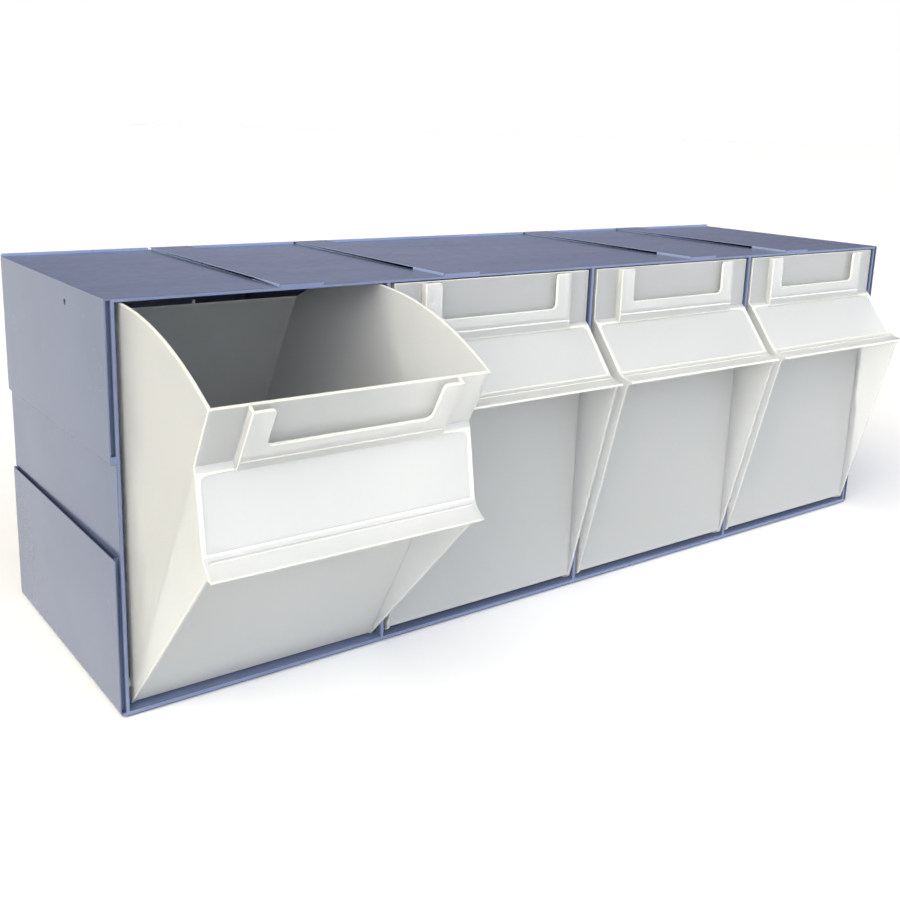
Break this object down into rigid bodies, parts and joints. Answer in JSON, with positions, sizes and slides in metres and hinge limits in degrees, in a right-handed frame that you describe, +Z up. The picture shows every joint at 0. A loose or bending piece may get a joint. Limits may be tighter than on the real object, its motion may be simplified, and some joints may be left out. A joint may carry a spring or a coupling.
{
  "type": "tilt-out bin unit",
  "caption": "Counter unit of translucent tilt-out bins with label holders and finger pulls, hinged side by side in a stackable moulded housing.",
  "frame": {"origin": "centre of the housing's footprint, on the surface that the stacking nubs stand on", "axes": "+X to the right seen from the front, along the row of bins; -Y is the front, where the bins tilt out; +Z up"},
  "size_m": [0.6, 0.2637, 0.2086],
  "materials": {
    "housing_plastic": "glossy blue-grey moulded plastic",
    "bin_plastic": "satin, natural translucent polypropylene"
  },
  "bodies": {
    "housing": {"housing_top": "housing_plastic", "housing_floor": "housing_plastic", "housing_back": "housing_plastic", "housing_left_side": "housing_plastic", "housing_right_side": "housing_plastic", "divider_1": "housing_plastic", "divider_2": "housing_plastic", "divider_3": "housing_plastic"},
    "bin_1": {"bin_1_front_wall": "bin_plastic", "bin_1_back_wall": "bin_plastic", "bin_1_bottom": "bin_plastic", "bin_1_left_wall": "bin_plastic", "bin_1_right_wall": "bin_plastic", "bin_1_finger_pull": "bin_plastic", "bin_1_label_holder": "bin_plastic", "bin_1_pivot_pegs": "bin_plastic"},
    "bin_2": {"bin_2_front_wall": "bin_plastic", "bin_2_back_wall": "bin_plastic", "bin_2_bottom": "bin_plastic", "bin_2_left_wall": "bin_plastic", "bin_2_right_wall": "bin_plastic", "bin_2_finger_pull": "bin_plastic", "bin_2_label_holder": "bin_plastic", "bin_2_pivot_pegs": "bin_plastic"},
    "bin_3": {"bin_3_front_wall": "bin_plastic", "bin_3_back_wall": "bin_plastic", "bin_3_bottom": "bin_plastic", "bin_3_left_wall": "bin_plastic", "bin_3_right_wall": "bin_plastic", "bin_3_finger_pull": "bin_plastic", "bin_3_label_holder": "bin_plastic", "bin_3_pivot_pegs": "bin_plastic"},
    "bin_4": {"bin_4_front_wall": "bin_plastic", "bin_4_back_wall": "bin_plastic", "bin_4_bottom": "bin_plastic", "bin_4_left_wall": "bin_plastic", "bin_4_right_wall": "bin_plastic", "bin_4_finger_pull": "bin_plastic", "bin_4_label_holder": "bin_plastic", "bin_4_pivot_pegs": "bin_plastic"}
  },
  "joints": [
    {"name": "bin_1_tilt", "type": "hinge", "parent": "housing", "child": "bin_1", "pos_m": [-0.2223, -0.0765, 0.0148], "axis": [1, 0, 0], "range_deg": [-29.4, 0]},
    {"name": "bin_2_tilt", "type": "hinge", "parent": "housing", "child": "bin_2", "pos_m": [-0.0741, -0.0765, 0.0148], "axis": [1, 0, 0], "range_deg": [0, 29.4]},
    {"name": "bin_3_tilt", "type": "hinge", "parent": "housing", "child": "bin_3", "pos_m": [0.0741, -0.0765, 0.0148], "axis": [1, 0, 0], "range_deg": [0, 29.4]},
    {"name": "bin_4_tilt", "type": "hinge", "parent": "housing", "child": "bin_4", "pos_m": [0.2223, -0.0765, 0.0148], "axis": [1, 0, 0], "range_deg": [0, 29.4]}
  ]
}
